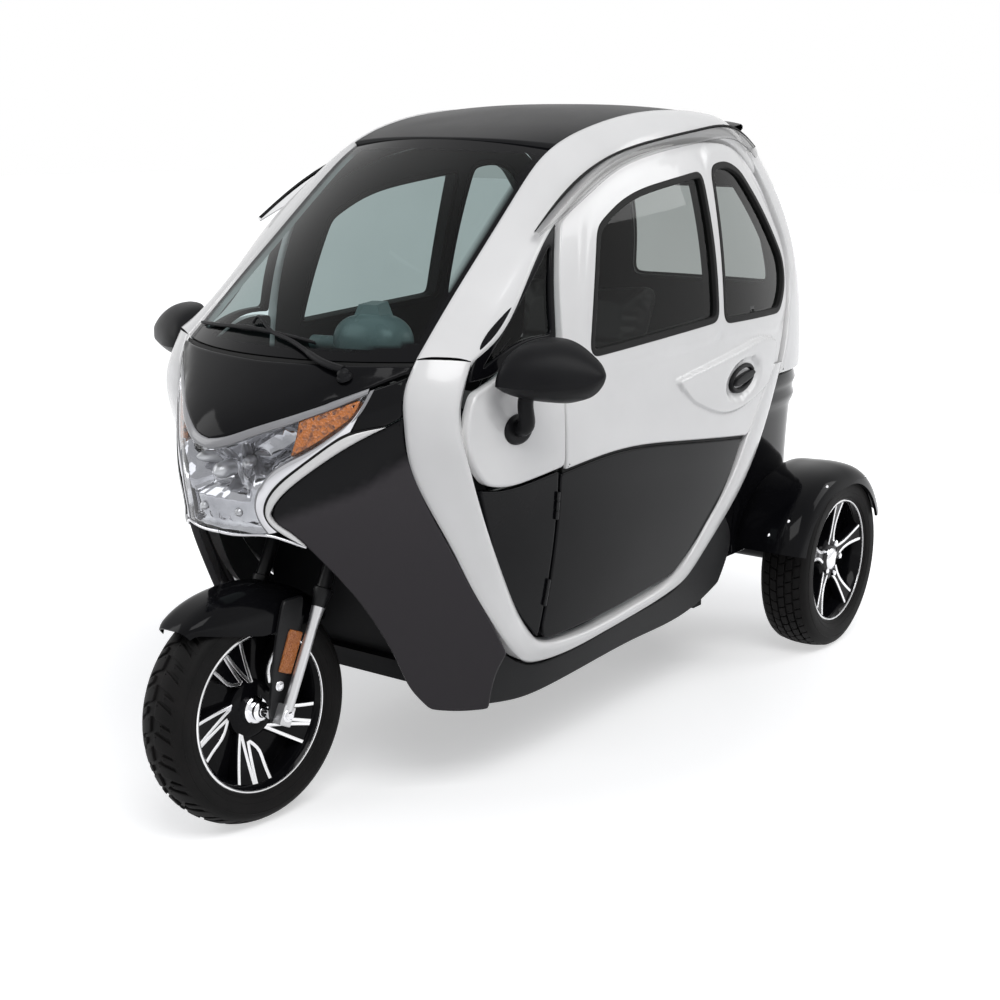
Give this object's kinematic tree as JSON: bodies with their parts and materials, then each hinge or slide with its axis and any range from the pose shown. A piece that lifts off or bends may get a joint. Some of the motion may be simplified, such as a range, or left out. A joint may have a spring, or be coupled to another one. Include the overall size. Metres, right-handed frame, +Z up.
{
  "type": "enclosed electric tricycle",
  "caption": "Small enclosed cabin tricycle with a steered front wheel, driven rear wheels, hinged side doors, panoramic windows and a two-tone moulded body.",
  "frame": {"origin": "middle of the bounding box on the ground, under the cabin", "axes": "+Z up, the front faces -Y, +X to the vehicle's left"},
  "size_m": [1.216, 2.2339, 1.4318],
  "materials": {
    "white_panels": "gloss pearl white",
    "black_panels": "gloss black",
    "black_plastic": "satin black",
    "black_steel": "satin black",
    "bright_metal": "bright",
    "tinted_glass": "dark tint",
    "seat_leather": "matt",
    "lamp_glass": "clear",
    "lamp_chrome": "mirror bright",
    "amber_lens": "clear amber",
    "red_lens": "clear red",
    "visor_acrylic": "clear",
    "tyres": "matt",
    "rims": "black with machined faces"
  },
  "bodies": {
    "chassis": {"side_frame_left": "white_panels", "side_frame_right": "white_panels", "quarter_panels": "white_panels", "headlamp_trims": "white_panels", "tail_upper": "white_panels", "quarter_skirts": "black_panels", "nose_panel": "black_panels", "front_fairings": "black_panels", "tail_lower": "black_panels", "rear_fenders": "black_panels", "sill_skirts": "black_plastic", "roof_panel": "black_plastic", "roof_spoiler": "black_plastic", "mirrors": "black_plastic", "floor_pan": "black_plastic", "front_bulkhead": "black_plastic", "seat_plinth": "black_plastic", "wiper": "black_plastic", "battery_pack": "black_plastic", "door_hinge_pins": "black_steel", "rear_axle": "black_steel", "rear_springs": "black_steel", "steering_head": "black_steel", "windscreen": "tinted_glass", "quarter_glass": "tinted_glass", "rear_window": "tinted_glass", "driver_cushion": "seat_leather", "driver_back": "seat_leather", "bench_cushion": "seat_leather", "bench_back": "seat_leather", "headlamp_lens": "lamp_glass", "headlamp_bowl": "lamp_chrome", "indicator_lenses": "amber_lens", "tail_lamps": "red_lens", "rain_visors": "visor_acrylic"},
    "steering": {"fork_legs": "black_steel", "fork_dampers": "bright_metal", "steering_column": "black_steel", "handlebar": "black_steel", "instrument_pod": "black_plastic", "front_axle": "bright_metal", "brake_caliper": "bright_metal", "front_mudguard": "black_panels"},
    "front_wheel": {"front_tyre": "tyres", "front_rim": "rims", "brake_disc": "bright_metal"},
    "rear_wheel_left": {"rear_tyre_left": "tyres", "rear_rim_left": "rims"},
    "rear_wheel_right": {"rear_tyre_right": "tyres", "rear_rim_right": "rims"},
    "door_left": {"door_left_upper": "white_panels", "door_left_lower": "black_panels", "door_left_glass": "tinted_glass", "door_left_handle": "black_plastic"},
    "door_right": {"door_right_upper": "white_panels", "door_right_lower": "black_panels", "door_right_glass": "tinted_glass", "door_right_handle": "black_plastic"}
  },
  "joints": [
    {"name": "steering_turn", "type": "hinge", "parent": "chassis", "child": "steering", "pos_m": [0, -0.85483, 0.22102], "axis": [0, 0.4509, 0.8926], "range_deg": [-30, 41]},
    {"name": "front_wheel_spin", "type": "hinge", "parent": "steering", "child": "front_wheel", "pos_m": [-0.00313, -0.88236, 0.23493], "axis": [0.9949, -0.0902, 0.0456], "continuous": true},
    {"name": "rear_wheel_left_spin", "type": "hinge", "parent": "chassis", "child": "rear_wheel_left", "pos_m": [0.44, 0.8775, 0.24], "axis": [1, 0, 0], "continuous": true},
    {"name": "rear_wheel_right_spin", "type": "hinge", "parent": "chassis", "child": "rear_wheel_right", "pos_m": [-0.44, 0.8775, 0.24], "axis": [1, 0, 0], "continuous": true},
    {"name": "door_left_hinge", "type": "hinge", "parent": "chassis", "child": "door_left", "pos_m": [0.419, -0.383, 0.5], "axis": [0, 0, -1], "range_deg": [0, 65]},
    {"name": "door_right_hinge", "type": "hinge", "parent": "chassis", "child": "door_right", "pos_m": [-0.419, -0.383, 0.5], "axis": [0, 0, 1], "range_deg": [0, 65]}
  ]
}
